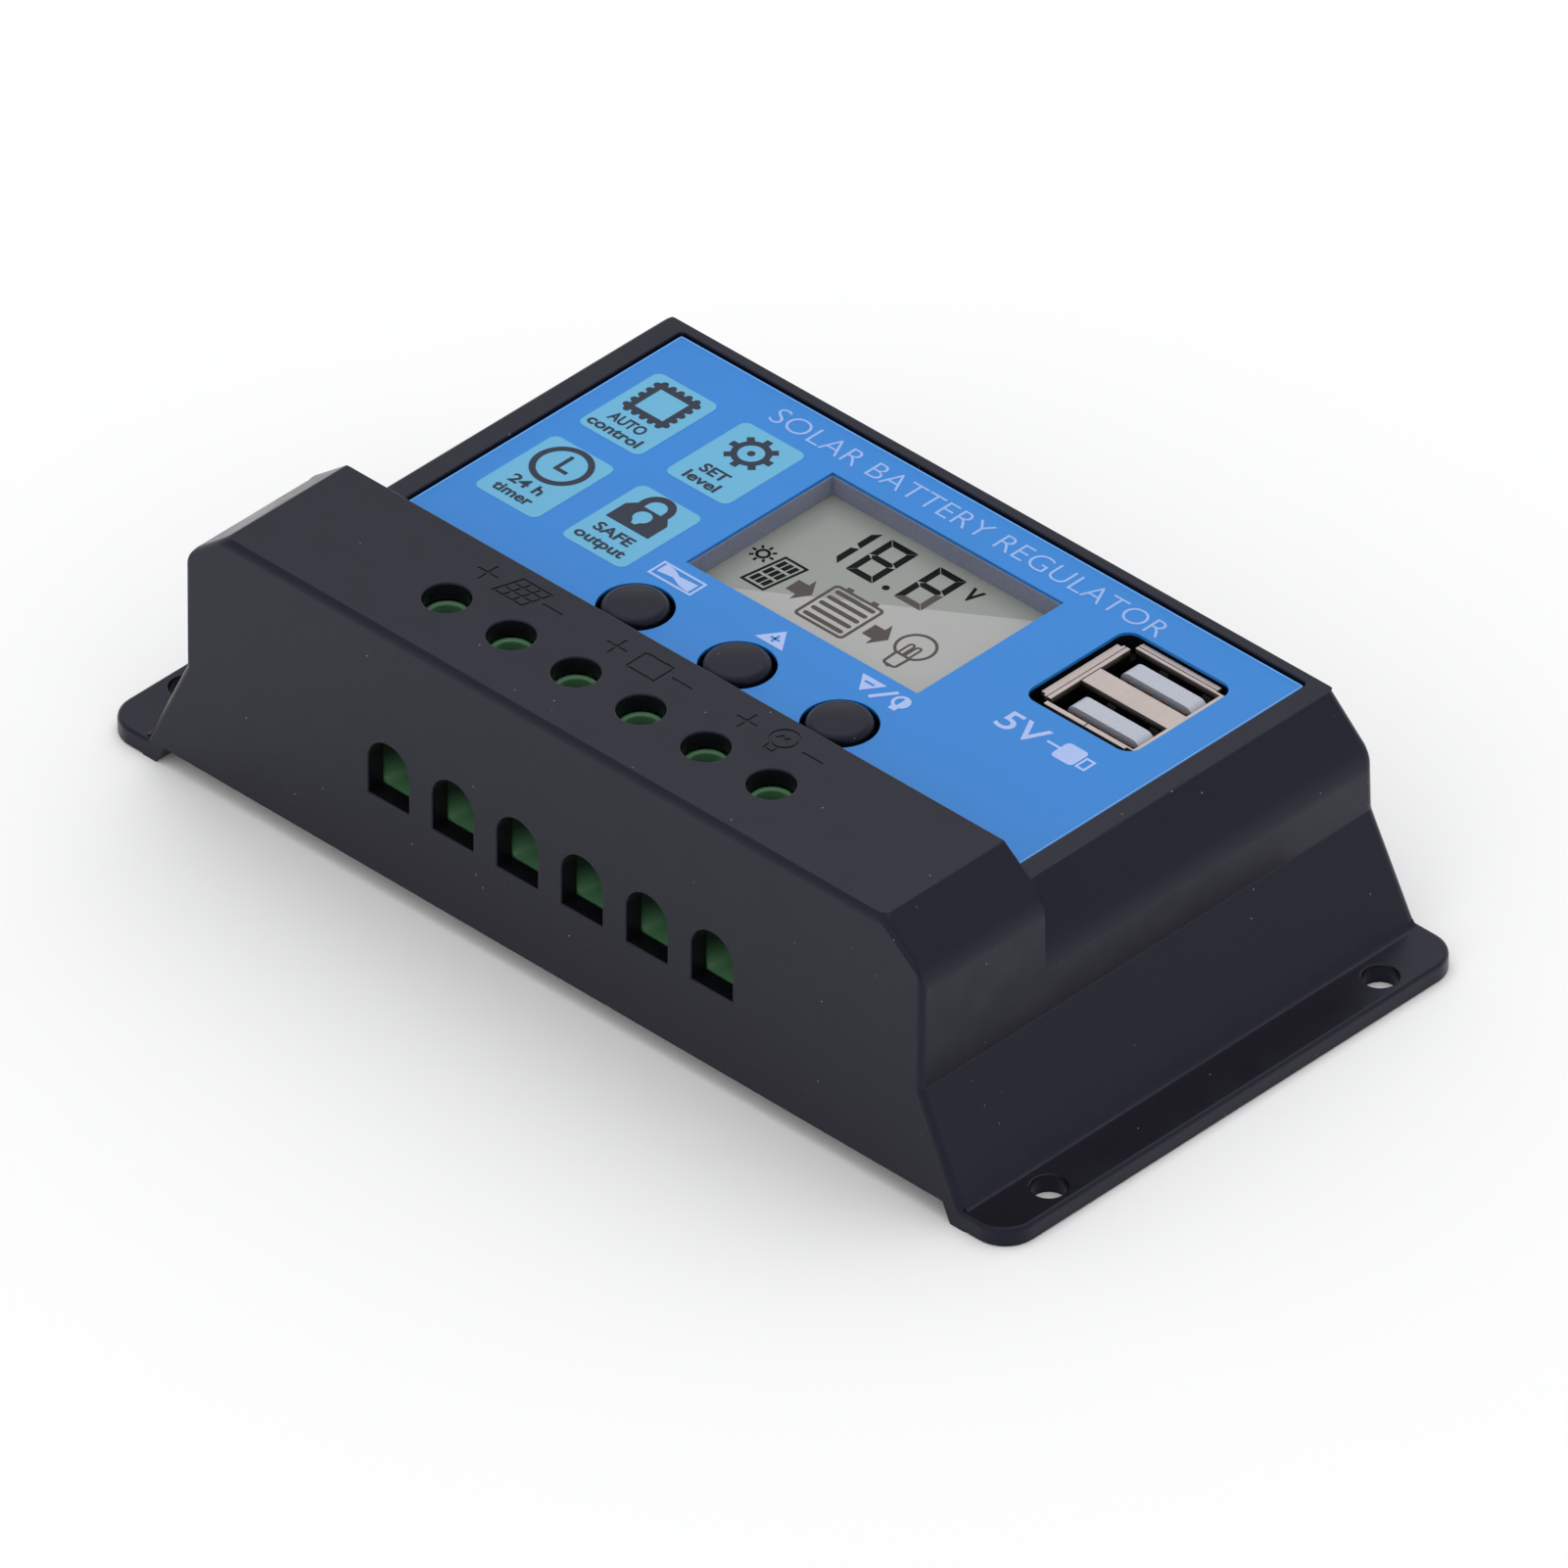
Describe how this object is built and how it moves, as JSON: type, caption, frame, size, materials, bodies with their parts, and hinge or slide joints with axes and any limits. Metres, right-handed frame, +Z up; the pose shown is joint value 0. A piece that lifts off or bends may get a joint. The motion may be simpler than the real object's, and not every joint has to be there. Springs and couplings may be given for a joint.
{
  "type": "solar charge controller",
  "caption": "Flat moulded controller case with screw-down ears, a raised row of screw terminals, a display window, push buttons and USB power ports.",
  "frame": {"origin": "middle of the case on the plane of the ears' undersides", "axes": "+X along the front towards the USB end, +Y from the wire entries towards the back, +Z up out of the label"},
  "size_m": [0.1334, 0.07, 0.0344],
  "materials": {
    "case_plastic": "fine moulded texture, dark slate",
    "label_film": "satin printed film, mid blue",
    "base_metal": "plain rolled sheet",
    "case_screw_steel": "zinc-plated self-tapping screw",
    "terminal_screw_steel": "zinc-plated",
    "cage_steel": "nickel-plated",
    "button_plastic": "fine satin black",
    "switch_plastic": "black moulded",
    "terminal_plastic": "green nylon",
    "contact_brass": "tinned brass",
    "lcd_glass": "grey-green display glass, opaque reflector behind",
    "diffuser": "milky acrylic",
    "holder_plastic": "natural moulded",
    "usb_nickel": "nickel-plated folded sheet",
    "usb_plastic": "pale grey moulded",
    "circuit_board": "green solder mask",
    "capacitor_sleeve": "shrink sleeve",
    "ferrite": "pressed ferrite",
    "chip_epoxy": "moulded epoxy",
    "shunt_alloy": "resistance strip",
    "thermal_rubber": "filled silicone sheet"
  },
  "bodies": {
    "case": {"housing": "case_plastic", "front_label": "label_film", "base_plate": "base_metal", "case_screw_1": "case_screw_steel", "case_screw_2": "case_screw_steel", "case_screw_3": "case_screw_steel", "case_screw_4": "case_screw_steel", "board_screw_1": "case_screw_steel", "board_screw_2": "case_screw_steel", "switch_mode": "switch_plastic", "switch_up": "switch_plastic", "switch_down": "switch_plastic", "terminal_block_solar": "terminal_plastic", "terminal_block_battery": "terminal_plastic", "terminal_block_load": "terminal_plastic", "contact_bar_1": "contact_brass", "contact_bar_2": "contact_brass", "contact_bar_3": "contact_brass", "contact_bar_4": "contact_brass", "contact_bar_5": "contact_brass", "contact_bar_6": "contact_brass", "lcd_glass": "lcd_glass", "lcd_backlight": "diffuser", "lcd_holder": "holder_plastic", "lcd_pins": "contact_brass", "usb_shell": "usb_nickel", "usb_insulator": "usb_plastic", "main_board": "circuit_board", "capacitor_large": "capacitor_sleeve", "capacitor_small": "capacitor_sleeve", "inductor": "ferrite", "microcontroller": "chip_epoxy", "usb_regulator": "chip_epoxy", "current_shunt": "shunt_alloy", "thermal_pad": "thermal_rubber", "transistor_1": "chip_epoxy", "transistor_2": "chip_epoxy", "transistor_3": "chip_epoxy", "transistor_4": "chip_epoxy"},
    "button_mode_key": {"button_mode": "button_plastic", "switch_stem_mode": "switch_plastic"},
    "button_up_key": {"button_up": "button_plastic", "switch_stem_up": "switch_plastic"},
    "button_down_key": {"button_down": "button_plastic", "switch_stem_down": "switch_plastic"},
    "screw_1": {"terminal_screw_1": "terminal_screw_steel"},
    "cage_1": {"clamp_cage_1": "cage_steel"},
    "screw_2": {"terminal_screw_2": "terminal_screw_steel"},
    "cage_2": {"clamp_cage_2": "cage_steel"},
    "screw_3": {"terminal_screw_3": "terminal_screw_steel"},
    "cage_3": {"clamp_cage_3": "cage_steel"},
    "screw_4": {"terminal_screw_4": "terminal_screw_steel"},
    "cage_4": {"clamp_cage_4": "cage_steel"},
    "screw_5": {"terminal_screw_5": "terminal_screw_steel"},
    "cage_5": {"clamp_cage_5": "cage_steel"},
    "screw_6": {"terminal_screw_6": "terminal_screw_steel"},
    "cage_6": {"clamp_cage_6": "cage_steel"}
  },
  "joints": [
    {"name": "button_mode_press", "type": "slide", "parent": "case", "child": "button_mode_key", "axis": [0, 0, -1], "range_m": [0, 0.0003], "stiffness_N_per_m": 4000, "springref_m": -0.0001},
    {"name": "button_up_press", "type": "slide", "parent": "case", "child": "button_up_key", "axis": [0, 0, -1], "range_m": [0, 0.0003], "stiffness_N_per_m": 4000, "springref_m": -0.0001},
    {"name": "button_down_press", "type": "slide", "parent": "case", "child": "button_down_key", "axis": [0, 0, -1], "range_m": [0, 0.0003], "stiffness_N_per_m": 4000, "springref_m": -0.0001},
    {"name": "screw_1_turn", "type": "hinge", "parent": "case", "child": "screw_1", "pos_m": [-0.0238, -0.0257, 0.0285], "axis": [0, 0, -1], "range_deg": [0, 2546]},
    {"name": "cage_1_lift", "type": "slide", "parent": "case", "child": "cage_1", "axis": [0, 0, 1], "range_m": [0, 0.0049]},
    {"name": "screw_2_turn", "type": "hinge", "parent": "case", "child": "screw_2", "pos_m": [-0.01428, -0.0257, 0.0285], "axis": [0, 0, -1], "range_deg": [0, 2546]},
    {"name": "cage_2_lift", "type": "slide", "parent": "case", "child": "cage_2", "axis": [0, 0, 1], "range_m": [0, 0.0049]},
    {"name": "screw_3_turn", "type": "hinge", "parent": "case", "child": "screw_3", "pos_m": [-0.00476, -0.0257, 0.0285], "axis": [0, 0, -1], "range_deg": [0, 2546]},
    {"name": "cage_3_lift", "type": "slide", "parent": "case", "child": "cage_3", "axis": [0, 0, 1], "range_m": [0, 0.0049]},
    {"name": "screw_4_turn", "type": "hinge", "parent": "case", "child": "screw_4", "pos_m": [0.00476, -0.0257, 0.0285], "axis": [0, 0, -1], "range_deg": [0, 2546]},
    {"name": "cage_4_lift", "type": "slide", "parent": "case", "child": "cage_4", "axis": [0, 0, 1], "range_m": [0, 0.0049]},
    {"name": "screw_5_turn", "type": "hinge", "parent": "case", "child": "screw_5", "pos_m": [0.01428, -0.0257, 0.0285], "axis": [0, 0, -1], "range_deg": [0, 2546]},
    {"name": "cage_5_lift", "type": "slide", "parent": "case", "child": "cage_5", "axis": [0, 0, 1], "range_m": [0, 0.0049]},
    {"name": "screw_6_turn", "type": "hinge", "parent": "case", "child": "screw_6", "pos_m": [0.0238, -0.0257, 0.0285], "axis": [0, 0, -1], "range_deg": [0, 2546]},
    {"name": "cage_6_lift", "type": "slide", "parent": "case", "child": "cage_6", "axis": [0, 0, 1], "range_m": [0, 0.0049]}
  ],
  "couplings": [
    {"joint": "screw_1_turn", "follows": "cage_1_lift", "rad_per_m": 8976},
    {"joint": "screw_2_turn", "follows": "cage_2_lift", "rad_per_m": 8976},
    {"joint": "screw_3_turn", "follows": "cage_3_lift", "rad_per_m": 8976},
    {"joint": "screw_4_turn", "follows": "cage_4_lift", "rad_per_m": 8976},
    {"joint": "screw_5_turn", "follows": "cage_5_lift", "rad_per_m": 8976},
    {"joint": "screw_6_turn", "follows": "cage_6_lift", "rad_per_m": 8976}
  ]
}
